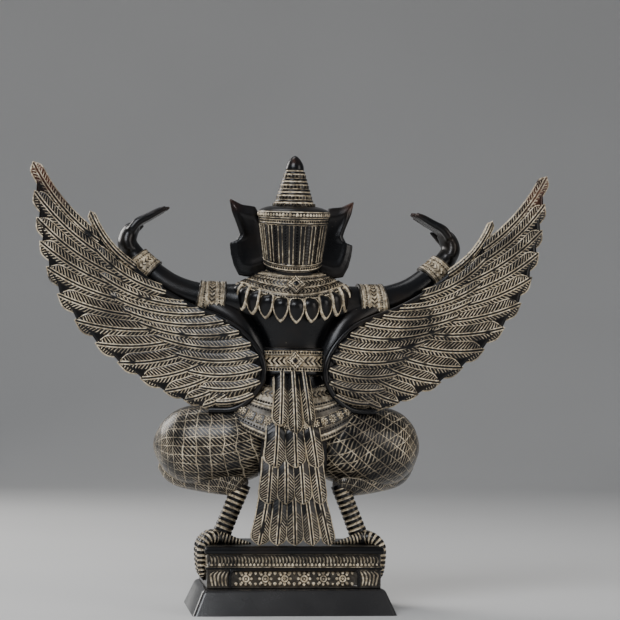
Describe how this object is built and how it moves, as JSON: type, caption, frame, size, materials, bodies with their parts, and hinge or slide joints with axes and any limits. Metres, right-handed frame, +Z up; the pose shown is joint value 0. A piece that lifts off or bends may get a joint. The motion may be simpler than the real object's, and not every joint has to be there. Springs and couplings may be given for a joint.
{
  "type": "garuda statue",
  "caption": "Cast garuda figure squatting on a carved seat, arms and feathered wings raised, tall crown and feather tail, on a loose plinth.",
  "frame": {"origin": "centre of the plinth's underside", "axes": "+Z up, the figure faces -Y, its back is towards +Y and its own left wing is towards +X"},
  "size_m": [0.464, 0.117, 0.3999],
  "materials": {
    "black_patina": "near-black glossy patina with cream rubbed into the carving and coppery wear at the tips",
    "plinth_black": "smooth near-black lacquer with soft gloss"
  },
  "bodies": {
    "root": {"garuda_figure": "black_patina", "plinth": "plinth_black"}
  },
  "joints": []
}
